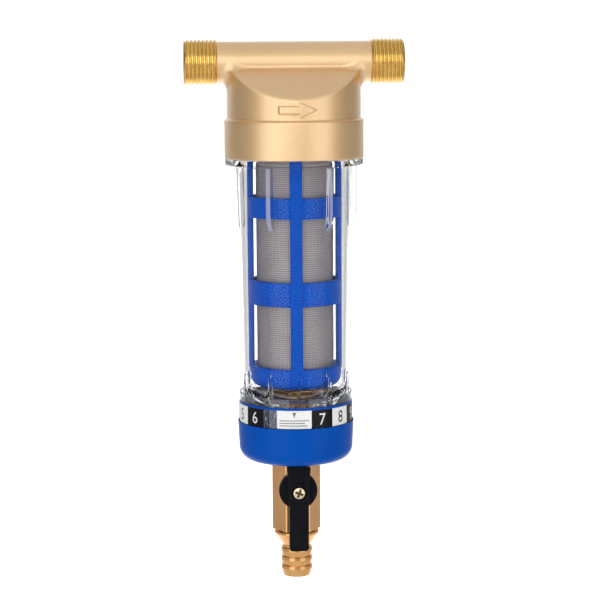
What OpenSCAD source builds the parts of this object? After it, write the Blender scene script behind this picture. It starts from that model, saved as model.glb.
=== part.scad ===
// In-line spin-down water filter: brass tee head, clear screw-on bowl, mesh
// cartridge with a magnet rod, month ring, base cap and drain ball valve.
// Millimetres. Origin where the port axis (X) crosses the bowl axis (Z);
// flow runs from -X to +X; the lever and the flow arrow face -Y.

/* [Ports] */
// Crest diameter of the two male port threads
port_thread_d = 20.955; // [20.9:0.005:21.0]
// Thread pitch of the ports
port_pitch = 1.814; // [1.75:0.002:1.85]
// Face-to-face length over the two ports
port_span = 102.4; // [101:0.1:106]
// Length of each port's thread
port_thread_len = 15.2; // [13:0.1:16]
// Outer radius of the cast pipe run
pipe_r = 9.5; // [9.2:0.1:9.9]
// Waterway radius in each port
port_bore_r = 7.5; // [6.5:0.1:7.7]

/* [Head] */
// Radius of the head's round body
body_r = 31.3; // [31:0.1:31.8]
// Radius of the collar round the bowl's thread
collar_r = 32.7; // [32.5:0.1:33.5]
// Top of the collar step
collar_top_z = -26.4; // [-27.5:0.1:-25.8]
// Fall of the gable roof per mm away from the port axis
roof_slope = 0.61; // [0.56:0.01:0.64]
// Height of the raised flow arrow over the wall
arrow_h = 0.7; // [0.4:0.1:1]

/* [Bowl] */
// Radius of the bowl's flange
flange_r = 32.5; // [31.5:0.1:32.6]
// Outer radius of the bowl under the flange
bowl_top_r = 27.2; // [27:0.1:27.4]
// Outer radius of the bowl low down
bowl_low_r = 25.1; // [25:0.05:25.2]
// Number of grip fins under the flange
grip_fins = 6; // [4:1:8]
// Number of locating ribs at the foot
foot_ribs = 10; // [8:1:12]

/* [Cartridge] */
// Outer radius of the cage's bars
cage_r = 22.2; // [21.8:0.1:22.2]
// Width of each cage bar
bar_w = 5.6; // [4:0.1:6.5]
// Outer radius of the mesh sleeve
mesh_r = 18.2; // [17.8:0.1:18.3]
// Wall of the mesh sleeve
mesh_t = 0.25; // [0.2:0.05:0.5]
// Number of magnets in the rod
magnets = 7; // [5:1:8]

/* [Month ring] */
// Outer radius of the clear month ring
ring_r = 26.8; // [26.7:0.05:26.8]

/* [Base cap] */
// Radius of the cap's rim
cap_rim_r = 27.6; // [27.5:0.1:28]

/* [Drain valve] */
// Across-flats size of the valve's hexagon body
hex_af = 20.2; // [20:0.1:21]
// Height of the ball's centre
ball_z = -201.4; // [-201.6:0.1:-201.2]
// Ball radius
ball_r = 7.2; // [7.1:0.05:7.25]
// Waterway radius through the valve
drain_bore_r = 4.6; // [3.5:0.1:4.6]
// Width of the lever
lever_w = 9.2; // [8.6:0.1:9.6]
// Lower end of the lever
lever_end_z = -229.8; // [-234:0.2:-222]

/* [Hidden] */
$fn = 96;

BRASS = [0.80, 0.64, 0.42];
BLUE = [0.02, 0.26, 0.68];
STEEL = [0.68, 0.66, 0.65];
BLACK = [0.06, 0.06, 0.07];
WHITE = [0.93, 0.93, 0.92];

half_span = port_span / 2;
thread_in = half_span - port_thread_len;   // where each port's thread starts

collar_bottom_z = -44.5;  // underside of the collar
cap_bottom_z = -188;      // underside of the cap
roof_low_z = -16.10;      // where the roof meets the round body's front

// Heights of the bowl, top to bottom
neck_top_z = -25.5;
flange_top_z = -44.6;
flange_low_z = -47.8;
floor_in_z = -158.5;
floor_out_z = -162;
neck_in_r = 23.6;
seal_bore_r = 26.75;
bowl_thread_r = 28.0;     // minor radius of the head's internal thread

// Points of a ridged profile from z0 up to z1: crests at rc, roots at rr
function ridges(rc, rr, z0, z1, p) =
    let (n = floor((z1 - z0) / p))
    [for (i = [0 : n - 1], k = [0 : 3])
        [k == 0 || k == 3 ? rr : rc,
         z0 + i * p + [0.10, 0.36, 0.64, 0.90][k] * p]];

// Points of an arc, centre (cx, cy), radius r, from angle a to b
function arc(cx, cy, r, a, b, n = 8) =
    [for (i = [0 : n]) [cx + r * cos(a + (b - a) * i / n),
                        cy + r * sin(a + (b - a) * i / n)]];

// A wedge of a tube between two bearings; 0 is the front (-Y), + towards +X
module wedge(a0, a1, r, z0, z1) {
    steps = max(2, ceil((a1 - a0) / 20));
    translate([0, 0, z0]) linear_extrude(z1 - z0)
        polygon(concat([[0, 0]],
            [for (i = [0 : steps])
                let (a = -90 + a0 + (a1 - a0) * i / steps)
                [r * cos(a), r * sin(a)] * 1.2]));
}

// A plain tube about Z
module tube(ro, ri, z0, z1) {
    translate([0, 0, z0]) difference() {
        cylinder(r = ro, h = z1 - z0);
        translate([0, 0, -1]) cylinder(r = ri, h = z1 - z0 + 2);
    }
}

// A fin standing in a plane through the Z axis, at bearing a, width w
module fin(a, w, pts) {
    rotate([0, 0, a - 90]) translate([0, w / 2, 0]) rotate([90, 0, 0])
        linear_extrude(w) polygon(pts);
}

// Width and depth of each thread groove: narrow, so the crest reads as one wall
groove_w = 0.48;
groove_d = 0.46;

// One male port along +X: crest cylinder with 55 degree grooves at the pitch
module port() {
    rc = port_thread_d / 2;
    n = floor((port_thread_len - 2.4) / port_pitch);
    first = thread_in + 1.5;
    rotate([0, 90, 0]) rotate_extrude() polygon(concat(
        [[0, 0], [pipe_r, 0], [pipe_r, thread_in], [rc, thread_in + 0.5]],
        [for (i = [0 : n], k = [-1, 0, 1])
            [k == 0 ? rc - groove_d : rc, first + i * port_pitch + k * groove_w / 2]],
        [[rc, half_span - 0.6], [rc - 0.6, half_span], [0, half_span]]));
}

module arrow() {
    // tail and head, drawn in X-Z and carried out past the wall
    rotate([90, 0, 0]) translate([0, 0, body_r - 3]) linear_extrude(6)
        translate([0, -21.3]) polygon([[-8.2, -1.9], [1.3, -1.9], [1.3, -3.8],
            [7.9, 0], [1.3, 3.8], [1.3, 1.9], [-8.2, 1.9]]);
}

module head_casting() {
    color(BRASS) difference() {
        union() {
            port();
            mirror([1, 0, 0]) port();
            // round body under a gable roof
            intersection() {
                translate([0, 0, collar_top_z - 2]) cylinder(r = body_r, h = 40);
                rotate([90, 0, 90]) translate([0, 0, -50]) linear_extrude(100)
                    polygon([[-40, -60], [40, -60], [40, roof_low_z - roof_slope * (40 - body_r)],
                             [0, roof_low_z + roof_slope * body_r],
                             [-40, roof_low_z - roof_slope * (40 - body_r)]]);
            }
            // collar with a rounded shoulder
            rotate_extrude() polygon(concat(
                [[0, collar_bottom_z], [collar_r, collar_bottom_z]],
                arc(collar_r - 0.8, collar_top_z - 0.8, 0.8, 0, 90, 4),
                [[body_r - 1, collar_top_z], [0, collar_top_z]]));
            // raised flow arrow on the front wall
            intersection() {
                arrow();
                translate([0, 0, -30]) cylinder(r = body_r + arrow_h, h = 20);
            }
        }
        // internal thread, seal bore and the annular chamber
        rotate_extrude() polygon(concat(
            [[0, collar_bottom_z - 1], [bowl_thread_r + 0.9, collar_bottom_z - 1],
             [bowl_thread_r + 0.9, collar_bottom_z + 0.6],
             [bowl_thread_r, collar_bottom_z + 1.2]],
            ridges(bowl_thread_r + 0.85, bowl_thread_r, -43.0, -30.6, 3),
            [[bowl_thread_r, -29.5], [seal_bore_r, -29.5], [seal_bore_r, -20.5],
             [seal_bore_r - 1, -19.5], [12.5, -19.5], [12.5, -22.5], [11.5, -22.5],
             [11.5, -27.6], [9.95, -27.6], [9.95, -29.8], [11.5, -29.8],
             [11.5, -33.4], [11, -34], [0, -34]]));
        // inlet: along the port, then down into the chamber
        translate([-half_span - 1, 0, 0]) rotate([0, 90, 0])
            cylinder(r = port_bore_r, h = half_span + 1 - 17.5);
        translate([-17.5, 0, -20]) cylinder(r = 6.5, h = 20);
        // outlet: up the spigot, then along the port
        translate([0, 0, -35]) cylinder(r = port_bore_r, h = 35);
        rotate([0, 90, 0]) cylinder(r = port_bore_r, h = half_span + 1);
    }
}

// O-ring in the neck's groove
module bowl_seal() {
    color(BLACK) translate([0, 0, -27.4])
        rotate_extrude() translate([25.83, 0]) circle(r = 0.88, $fn = 32);
}

module clear_bowl() {
    color([0.85, 0.92, 0.95, 0.4]) union() {
        rotate_extrude() polygon(concat(
            [[neck_in_r, neck_top_z], [neck_in_r, -48], [23.4, -83], [22.75, -137],
             [22.6, -149.9]],
            arc(14.0, -149.9, 8.6, 0, -90, 8),
            [[8.6, floor_in_z], [8.6, floor_out_z]],
            arc(15.9, -153, 9, -90, 0, 8),
            [[bowl_low_r, -137], [26.0, -83], [bowl_top_r, flange_low_z],
             [flange_r - 0.4, flange_low_z], [flange_r, flange_low_z + 0.4],
             [flange_r, flange_top_z - 0.4], [flange_r - 0.4, flange_top_z],
             [26.9, flange_top_z]],
            ridges(bowl_thread_r - 0.1, 26.9, -43.0, -30.6, 3),
            [[26.9, -30.4], [26.5, -30.0], [26.5, -28.5], [24.9, -28.5],
             [24.9, -26.3], [26.5, -26.3], [26.5, -25.9], [26.1, neck_top_z]]));
        // grip fins under the flange
        for (i = [0 : grip_fins - 1])
            fin(31.8 + i * 360 / grip_fins, 2.4,
                [[25.6, flange_low_z + 1], [29.6, flange_low_z + 1], [29.6, -70],
                 [29.0, -72.6], [27.8, -75], [26.4, -76.3], [25.2, -76.6]]);
        // locating ribs down the outside of the foot
        for (i = [0 : foot_ribs - 1])
            fin(i * 360 / foot_ribs, 1.8,
                [[24.2, -145.7], [25.1, -145.7], [25.75, -146.6], [25.75, -168.8],
                 [22.6, -168.8], [17.5, -161.4], [16.5, -160.2], [20, -158.2],
                 [22.2, -155.6], [23.4, -152]]);
        // gussets inside the foot that centre the cartridge's cup
        for (i = [0 : foot_ribs - 1])
            fin(i * 360 / foot_ribs, 1.2,
                [[23.6, -143.6], [22.6, -143.6], [20.2, -152.4], [20.0, -159.0],
                 [21.6, -157], [23.2, -152.5]]);
    }
}

module cartridge_cage() {
    color(BLUE) union() {
        // top plate with the socket that the head's spigot enters
        rotate_extrude() polygon([[11.65, -23.6], [14.4, -23.6], [14.8, -24],
            [14.8, -28], [21.6, -28], [21.9, -28.3], [21.9, -32.6],
            [17.6, -32.6], [17.6, -30.6], [11.65, -30.6]]);
        // four bars
        difference() {
            intersection() {
                tube(cage_r, 19.5, -143.5, -29);
                union() {
                    translate([-bar_w / 2, -30, -150]) cube([bar_w, 60, 130]);
                    translate([-30, -bar_w / 2, -150]) cube([60, bar_w, 130]);
                }
            }
        }
        // two hoops
        tube(21.7, 19.5, -72.0, -62.2);
        tube(21.7, 19.5, -112.8, -101.5);
        // closed cup with the magnet rod's socket
        rotate_extrude() polygon([[0, -152.6], [15.2, -152.6], [17.6, -151.9],
            [19.6, -150.2], [20.9, -147.6], [21.6, -144.6], [21.9, -142.3],
            [18.45, -142.3], [18.45, -148], [16.6, -148], [16.2, -149.4],
            [14.6, -150.8], [8.2, -150.8], [7.6, -143], [5.55, -143],
            [5.55, -151], [0, -151]]);
    }
}

module mesh_screen() {
    color(STEEL) tube(mesh_r, mesh_r - mesh_t, -148, -32.6);
}

// O-ring between the spigot and the cage's socket
module cartridge_seal() {
    color(BLACK) translate([0, 0, -28.7])
        rotate_extrude() translate([10.8, 0]) circle(r = 0.82, $fn = 32);
}

// ---- magnet rod inside the mesh ----
rod_in_low = -150.5;
washer_t = 1.6;
magnet_h = (100.3 - (magnets + 1) * washer_t) / magnets;

module magnet_sleeve() {
    color(STEEL) translate([0, 0, -151]) difference() {
        cylinder(r = 5.5, h = 107);
        translate([0, 0, 0.5]) cylinder(r = 5.1, h = 108);
    }
}

module magnet_stack() {
    color([0.55, 0.56, 0.58]) for (i = [0 : magnets - 1])
        translate([0, 0, rod_in_low + washer_t + i * (magnet_h + washer_t)])
            cylinder(r = 5.0, h = magnet_h);
}

module pole_washers() {
    color([0.40, 0.41, 0.43]) for (i = [0 : magnets])
        translate([0, 0, rod_in_low + i * (magnet_h + washer_t)])
            cylinder(r = 5.05, h = washer_t);
}

module magnet_end_plug() {
    color(STEEL) rotate_extrude() polygon([[0, -50.2], [5.1, -50.2], [5.1, -44],
        [5.5, -44], [5.5, -43.2], [4.4, -41.9], [2.4, -41.2], [0, -41]]);
}

// ---- month ring ----
module month_ring() {
    color([0.88, 0.93, 0.95, 0.5]) rotate_extrude() polygon([
        [25.95, -155.7], [26.15, -155.3], [ring_r - 0.3, -155.3], [ring_r, -155.6],
        [ring_r, -170.1], [24.6, -170.1], [24.6, -169.1], [25.95, -169.1]]);
}

// Printed film round the ring, open for 13 degrees at the front
module month_label() {
    color(WHITE) difference() {
        tube(ring_r + 0.15, ring_r, -169.0, -159.3);
        wedge(-36, -23, 30, -172, -150);
    }
}

// Dark printed month squares, every other month
module month_squares() {
    color(BLACK) intersection() {
        tube(ring_r + 0.22, ring_r + 0.15, -169.0, -160.5);
        union() for (a = [9, 54, 99, 211.5, 256.5, 301.5])
            wedge(a, a + 22.5, 30, -172, -150);
    }
}

module base_cap() {
    color(BLUE) rotate_extrude() polygon(concat(
        [[27.2, -169.25], [cap_rim_r, -169.25], [cap_rim_r - 0.1, -172],
         [27.25, -176]],
        arc(17.9, -179.2, 9, 0, -78, 8),
        [[17.7, cap_bottom_z], [8.8, cap_bottom_z], [8.8, -162.9], [13, -162.9],
         [13, -184.6], [14, -185.6], [18, -185.6]],
        arc(18, -179.2, 6.4, -90, 0, 6),
        [[24.4, -170.4], [27.2, -170.4]]));
}

// ---- drain ----
module drain_nut() {
    color(BRASS) difference() {
        intersection() {
            translate([0, 0, -158]) rotate([0, 0, 12]) cylinder(r = 11.55, h = 3, $fn = 6);
            rotate_extrude() polygon([[0, -158.1], [11.6, -158.1], [11.6, -155.9],
                                      [10.4, -155], [0, -155]]);
        }
        translate([0, 0, -160]) cylinder(r = 8.4, h = 8);
    }
}

module nut_washer() { color(BLACK) tube(12.2, 8.7, -158.5, -158.0); }
module floor_washer() { color(BLACK) tube(12.8, 8.9, -162.9, -162.0); }

module valve_body() {
    color(BRASS) difference() {
        union() {
            translate([0, 0, -222.6]) cylinder(r = hex_af / 2 / cos(30), h = 34.6, $fn = 6);
            // threaded neck through the cap and the bowl's floor
            rotate_extrude() polygon(concat([[0, -190], [7.9, -190], [7.9, -165]],
                ridges(8.33, 7.7, -165, -155.6, 1.337),
                [[7.7, -155.4], [7.2, -154.8], [0, -154.8]]));
            // stem boss on the front flat
            translate([0, 0, ball_z]) rotate([90, 0, 0]) cylinder(r = 5.2, h = 12.6);
        }
        translate([0, 0, -195]) cylinder(r = drain_bore_r + 0.4, h = 60);
        translate([0, 0, -223.6]) cylinder(r = 7.95, h = 30.2);
        // stem bore and the recess for the stem's shoulder
        translate([0, 0, ball_z]) rotate([90, 0, 0]) cylinder(r = 3.15, h = 15);
        translate([0, 0, ball_z]) rotate([90, 0, 0]) cylinder(r = 4.3, h = 8.95);
    }
}

module hose_tail() {
    color(BRASS) difference() {
        rotate_extrude() polygon([[0, -245.4], [6.4, -245.4], [6.7, -245.1],
            [7.5, -241.5], [7.5, -240.3], [6.8, -240.3], [7.5, -237.2],
            [7.5, -236.0], [6.8, -236.0], [7.5, -232.8], [7.5, -231.6],
            [6.8, -231.6], [7.0, -229.5], [7.8, -229.0], [10.7, -224.2],
            [10.7, -223.2], [7.9, -223.2], [7.9, -221.9], [6.85, -221.9],
            [6.85, -220.3], [7.9, -220.3], [7.9, -209.4], [0, -209.4]]);
        translate([0, 0, -246.4]) cylinder(r = drain_bore_r, h = 40);
    }
}

module tail_seal() {
    color(BLACK) translate([0, 0, -221.1])
        rotate_extrude() translate([7.4, 0]) circle(r = 0.53, $fn = 32);
}

module drain_ball() {
    color([0.80, 0.81, 0.82]) translate([0, 0, ball_z]) difference() {
        sphere(r = ball_r);
        translate([0, 0, -10]) cylinder(r = drain_bore_r, h = 20);
        translate([-10, -10, -1.2]) cube([20, 4.5, 2.4]);
    }
}

// Ball seat: a ring with a spherical face towards the ball
module seat_ring() {
    color([0.94, 0.94, 0.92]) difference() {
        translate([0, 0, 4.7]) cylinder(r = 7.85, h = 3.3);
        sphere(r = ball_r + 0.04);
        cylinder(r = drain_bore_r, h = 10);
    }
}
module upper_seat() { translate([0, 0, ball_z]) seat_ring(); }
module lower_seat() { translate([0, 0, ball_z]) mirror([0, 0, 1]) seat_ring(); }

module valve_stem() {
    color(BRASS) translate([0, 0, ball_z]) difference() {
        union() {
            rotate([90, 0, 0]) rotate_extrude() polygon([[0, 7.3], [4.2, 7.3],
                [4.2, 8.3], [3.1, 8.3], [3.1, 9.3], [2.05, 9.3], [2.05, 10.5],
                [3.1, 10.5], [3.1, 10.8], [2.05, 10.8], [2.05, 12.0], [3.1, 12.0],
                [3.1, 12.9], [0, 12.9]]);
            // flattened drive end that the lever sits on
            intersection() {
                rotate([90, 0, 0]) cylinder(r = 3.1, h = 16.6);
                translate([-2.2, -16.6, -4]) cube([4.4, 4.5, 8]);
            }
            // tang in the ball's slot
            translate([-3, -7.4, -1.1]) cube([6, 1.8, 2.2]);
        }
        translate([0, -12.4, 0]) rotate([90, 0, 0]) cylinder(r = 1.5, h = 6);
    }
}

module stem_thrust_washer() {
    color([0.94, 0.94, 0.92]) translate([0, 0, ball_z]) rotate([90, 0, 0])
        tube(4.2, 3.2, 8.32, 8.92);
}

module stem_seals() {
    color(BLACK) translate([0, 0, ball_z]) for (y = [9.9, 11.4])
        rotate([90, 0, 0]) translate([0, 0, y])
            rotate_extrude() translate([2.6, 0]) circle(r = 0.53, $fn = 32);
}

module lever_outline() {
    w = lever_w / 2;
    top = [for (i = [0 : 8]) let (a = 115.9 - i * 6.475)
           [12.8 * cos(a), ball_z + 12.8 * sin(a)]];
    polygon(concat(top,
        [[5.2, ball_z + 5.6], [w, ball_z + 5.0], [w, lever_end_z + 1.6]],
        arc(w - 1.6, lever_end_z + 1.6, 1.6, 0, -90, 4),
        arc(-w + 1.6, lever_end_z + 1.6, 1.6, -90, -180, 4),
        [[-w, ball_z + 5.0], [-5.2, ball_z + 5.6]]));
}

module valve_lever() {
    color(BLACK) difference() {
        union() {
            // blade
            translate([0, -12.95, 0]) rotate([90, 0, 0]) linear_extrude(5.05) lever_outline();
            // round skirt over the stem boss
            translate([0, -10.5, ball_z]) rotate([90, 0, 0]) cylinder(r = 9.1, h = 3.2);
            // raised ring round the screw
            translate([0, -17.5, ball_z]) rotate([90, 0, 0]) cylinder(r = 4.7, h = 1.6);
        }
        // pocket for the stem boss
        translate([0, -10, ball_z]) rotate([90, 0, 0]) cylinder(r = 5.6, h = 2.9);
        // flattened drive hole
        intersection() {
            translate([0, -12, ball_z]) rotate([90, 0, 0]) cylinder(r = 3.2, h = 4.7);
            translate([-2.3, -16.7, ball_z - 4]) cube([4.6, 5, 8]);
        }
        translate([0, -16, ball_z]) rotate([90, 0, 0]) cylinder(r = 1.7, h = 5);
        translate([0, -18, ball_z]) rotate([90, 0, 0]) cylinder(r = 3.3, h = 5);
        // lightening pocket in the back of the blade
        translate([1.4 - lever_w / 2, -16.2, lever_end_z + 1.8])
            cube([lever_w - 2.8, 6, ball_z - 10.4 - lever_end_z - 1.8]);
    }
}

module lever_screw() {
    color([0.85, 0.78, 0.62]) translate([0, 0, ball_z]) difference() {
        rotate([90, 0, 0]) rotate_extrude() polygon([[0, 12.6], [1.4, 12.6],
            [1.45, 18.0], [2.9, 18.0], [2.9, 18.9], [2.5, 19.5], [1.6, 19.9],
            [0, 20.05]]);
        translate([-1.7, -21, -0.3]) cube([3.4, 2.1, 0.6]);
        translate([-0.3, -21, -1.7]) cube([0.6, 2.1, 3.4]);
    }
}

head_casting();
bowl_seal();
clear_bowl();
cartridge_cage();
mesh_screen();
cartridge_seal();
magnet_sleeve();
magnet_stack();
pole_washers();
magnet_end_plug();
month_ring();
month_label();
month_squares();
base_cap();
drain_nut();
nut_washer();
floor_washer();
valve_body();
hose_tail();
tail_seal();
drain_ball();
upper_seat();
lower_seat();
valve_stem();
stem_thrust_washer();
stem_seals();
valve_lever();
lever_screw();
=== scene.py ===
import math
import bmesh
import bpy
import numpy as np
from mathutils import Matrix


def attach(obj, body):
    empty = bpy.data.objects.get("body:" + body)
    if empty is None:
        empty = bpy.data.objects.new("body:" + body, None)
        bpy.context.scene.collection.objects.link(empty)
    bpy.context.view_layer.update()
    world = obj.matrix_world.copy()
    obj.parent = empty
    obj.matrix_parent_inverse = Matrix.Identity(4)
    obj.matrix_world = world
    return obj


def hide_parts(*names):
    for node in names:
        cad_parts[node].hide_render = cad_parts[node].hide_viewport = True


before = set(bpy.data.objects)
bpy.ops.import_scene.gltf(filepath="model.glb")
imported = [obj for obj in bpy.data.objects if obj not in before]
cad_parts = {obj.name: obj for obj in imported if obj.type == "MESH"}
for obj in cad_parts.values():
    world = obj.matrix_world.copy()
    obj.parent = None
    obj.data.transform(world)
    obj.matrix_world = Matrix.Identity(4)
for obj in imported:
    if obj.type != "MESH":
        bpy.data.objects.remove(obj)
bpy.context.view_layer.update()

import openvdb
from mathutils import Matrix, Vector

SC = bpy.context.scene
PI = math.pi

# --------------------------------------------------------------------------
# camera (metres); the front is -Y, and the view is a little to its left
# --------------------------------------------------------------------------
CAM_AZ, CAM_DIST, CAM_H, CAM_TILT, CAM_ROLL, CAM_F = -4.0, 0.960, 0.0186, 7.757, -0.37, 2045.0
CAM_PAN = 0.139          # degrees that the axis stands left of the picture's middle


def make_camera():
    cam = bpy.data.cameras.new("camera")
    cam.sensor_width = 36.0
    cam.lens = 36.0 * CAM_F / 600.0
    cam.clip_start, cam.clip_end = 0.01, 50.0
    ob = bpy.data.objects.new("camera", cam)
    SC.collection.objects.link(ob)
    a = math.radians(CAM_AZ)
    ob.location = (CAM_DIST * math.sin(a), -CAM_DIST * math.cos(a), CAM_H)
    yaw = a + math.radians(-CAM_PAN)     # turned a little to the right of the axis
    # looking along +Y is rotation (90, 0, 0); positive yaw about Z turns left
    m = (Matrix.Rotation(yaw, 4, "Z") @ Matrix.Rotation(math.radians(90 - CAM_TILT), 4, "X")
         @ Matrix.Rotation(math.radians(CAM_ROLL), 4, "Z"))
    ob.rotation_euler = m.to_euler()
    SC.camera = ob
    return ob


make_camera()

# --------------------------------------------------------------------------
# materials
# --------------------------------------------------------------------------


class Nodes:
    """A small helper round one material's node tree."""

    def __init__(self, name):
        self.mat = bpy.data.materials.new(name)
        self.mat.use_nodes = True
        self.nt = self.mat.node_tree
        self.nt.nodes.clear()
        self.out = self.nt.nodes.new("ShaderNodeOutputMaterial")
        self.bsdf = self.nt.nodes.new("ShaderNodeBsdfPrincipled")
        self.nt.links.new(self.bsdf.outputs[0], self.out.inputs["Surface"])
        self.coord = self.nt.nodes.new("ShaderNodeTexCoord")

    def new(self, kind, **props):
        n = self.nt.nodes.new(kind)
        for k, v in props.items():
            setattr(n, k, v)
        return n

    def link(self, a, b):
        self.nt.links.new(a, b)

    def obj(self, scale=(1, 1, 1), rot=(0, 0, 0)):
        m = self.new("ShaderNodeMapping")
        m.inputs["Scale"].default_value = scale
        m.inputs["Rotation"].default_value = rot
        self.link(self.coord.outputs["Object"], m.inputs["Vector"])
        return m.outputs[0]

    def noise(self, scale, detail=3.0, rough=0.55, vec=None, distort=0.0):
        n = self.new("ShaderNodeTexNoise")
        n.inputs["Scale"].default_value = scale
        n.inputs["Detail"].default_value = detail
        n.inputs["Roughness"].default_value = rough
        n.inputs["Distortion"].default_value = distort
        self.link(vec if vec is not None else self.coord.outputs["Object"], n.inputs["Vector"])
        return n.outputs["Fac"]

    def ramp(self, fac, stops):
        r = self.new("ShaderNodeValToRGB")
        els = r.color_ramp.elements
        while len(els) < len(stops):
            els.new(0.5)
        for el, (p, c) in zip(els, stops):
            el.position = p
            el.color = (*c, 1.0) if len(c) == 3 else c
        self.link(fac, r.inputs[0])
        return r.outputs[0]

    def math(self, op, a, b=None, clamp=False):
        n = self.new("ShaderNodeMath", operation=op)
        n.use_clamp = clamp
        for i, v in enumerate((a, b)):
            if v is None:
                continue
            if isinstance(v, (int, float)):
                n.inputs[i].default_value = v
            else:
                self.link(v, n.inputs[i])
        return n.outputs[0]

    def maprange(self, fac, a, b, c, d):
        n = self.new("ShaderNodeMapRange")
        for k, v in zip(("From Min", "From Max", "To Min", "To Max"), (a, b, c, d)):
            n.inputs[k].default_value = v
        self.link(fac, n.inputs["Value"])
        return n.outputs[0]

    def mix(self, fac, a, b, blend="MIX"):
        n = self.new("ShaderNodeMix", data_type="RGBA", blend_type=blend)
        for i, v in ((0, fac), (6, a), (7, b)):
            if isinstance(v, (int, float)):
                n.inputs[i].default_value = v
            elif isinstance(v, tuple):
                n.inputs[i].default_value = (*v, 1.0)
            else:
                self.link(v, n.inputs[i])
        return n.outputs[2]

    def bump(self, height, strength, distance, normal=None):
        n = self.new("ShaderNodeBump")
        n.inputs["Strength"].default_value = strength
        n.inputs["Distance"].default_value = distance
        self.link(height, n.inputs["Height"])
        if normal is not None:
            self.link(normal, n.inputs["Normal"])
        return n.outputs[0]

    def put(self, socket, value):
        s = self.bsdf.inputs[socket]
        if isinstance(value, (int, float)):
            s.default_value = value
        elif isinstance(value, tuple):
            s.default_value = (*value, 1.0) if len(value) == 3 else value
        else:
            self.link(value, s)


def cast_brass():
    """Blasted brass casting: satin, fine grain, faint long polish marks."""
    m = Nodes("cast_brass")
    blotch = m.noise(55, 4, 0.6)
    grain = m.noise(2600, 2, 0.6)
    fine = m.noise(6500, 1, 0.5)
    streak = m.noise(1400, 2, 0.5, vec=m.obj(scale=(1, 1, 0.03)))
    base = m.ramp(blotch, [(0.30, (0.785, 0.490, 0.195)), (0.70, (0.840, 0.545, 0.230))])
    base = m.mix(m.maprange(grain, 0.3, 0.7, 0.0, 0.22), base, (0.66, 0.42, 0.19))
    m.put("Base Color", base)
    m.put("Metallic", 1.0)
    m.put("Coat Weight", 1.0)
    m.put("Coat IOR", 2.25)
    m.put("Coat Roughness", 0.31)
    rough = m.math("ADD", m.maprange(grain, 0.25, 0.75, 0.44, 0.54),
                   m.maprange(streak, 0.3, 0.7, -0.03, 0.03))
    m.put("Roughness", rough)
    h = m.math("ADD", m.math("MULTIPLY", grain, 1.0), m.math("MULTIPLY", fine, 0.5))
    h = m.math("ADD", h, m.math("MULTIPLY", streak, 0.35))
    m.put("Normal", m.bump(h, 0.22, 0.00012))
    return m.mat


def thread_brass():
    """Cut threads: bright yellow brass with turning lines round the X axis."""
    m = Nodes("thread_brass")
    n = m.noise(1800, 3, 0.6, vec=m.obj(scale=(1.0, 0.02, 0.02)))
    blotch = m.noise(180, 3, 0.6)
    base = m.ramp(blotch, [(0.3, (0.70, 0.46, 0.135)), (0.7, (0.82, 0.57, 0.20))])
    m.put("Base Color", base)
    m.put("Metallic", 1.0)
    m.put("Roughness", m.maprange(n, 0.3, 0.7, 0.17, 0.27))
    m.put("Normal", m.bump(n, 0.06, 0.00006))
    return m.mat


def turned_brass():
    """Drawn hexagon bar and turned brass with fine lines round Z."""
    m = Nodes("turned_brass")
    n = m.noise(2200, 3, 0.6, vec=m.obj(scale=(0.02, 0.02, 1.0)))
    drawn = m.noise(1500, 3, 0.6, vec=m.obj(scale=(1.0, 1.0, 0.02)))
    blotch = m.noise(160, 4, 0.6)
    base = m.ramp(blotch, [(0.3, (0.70, 0.375, 0.140)), (0.7, (0.78, 0.440, 0.185))])
    m.put("Base Color", base)
    m.put("Metallic", 1.0)
    r = m.math("ADD", m.maprange(n, 0.3, 0.7, 0.15, 0.22), m.maprange(drawn, 0.3, 0.7, -0.02, 0.04))
    m.put("Roughness", r)
    m.put("Normal", m.bump(m.math("ADD", n, drawn), 0.06, 0.00006))
    return m.mat


def clear_plastic(name, tint, ior, rough=0.005, through=1.0):
    """Clear moulding: nearly smooth, with faint flow waves."""
    m = Nodes(name)
    wave = m.noise(70, 2, 0.5, vec=m.obj(scale=(1, 1, 0.35)))
    haze = m.noise(900, 2, 0.6)
    m.put("Base Color", tint)
    m.put("Transmission Weight", through)
    m.put("IOR", ior)
    m.put("Roughness", m.maprange(haze, 0.35, 0.75, rough, rough + 0.025))
    m.put("Normal", m.bump(wave, 0.06, 0.0006))
    return m.mat


def blue_plastic(name, a, b, rough, coat, grain):
    """Moulded blue plastic."""
    m = Nodes(name)
    n = m.noise(40, 3, 0.5)
    g = m.noise(3200, 2, 0.6)
    m.put("Base Color", m.ramp(n, [(0.3, a), (0.7, b)]))
    m.put("Roughness", m.maprange(g, 0.3, 0.7, rough - 0.03, rough + 0.05))
    m.put("IOR", 1.49)
    m.put("Specular IOR Level", 0.06)
    m.put("Coat Weight", coat)
    m.put("Coat Roughness", 0.06)
    h = m.math("ADD", m.math("MULTIPLY", n, 2.0), m.math("MULTIPLY", g, grain))
    m.put("Normal", m.bump(h, 0.05, 0.0001))
    return m.mat


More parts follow.
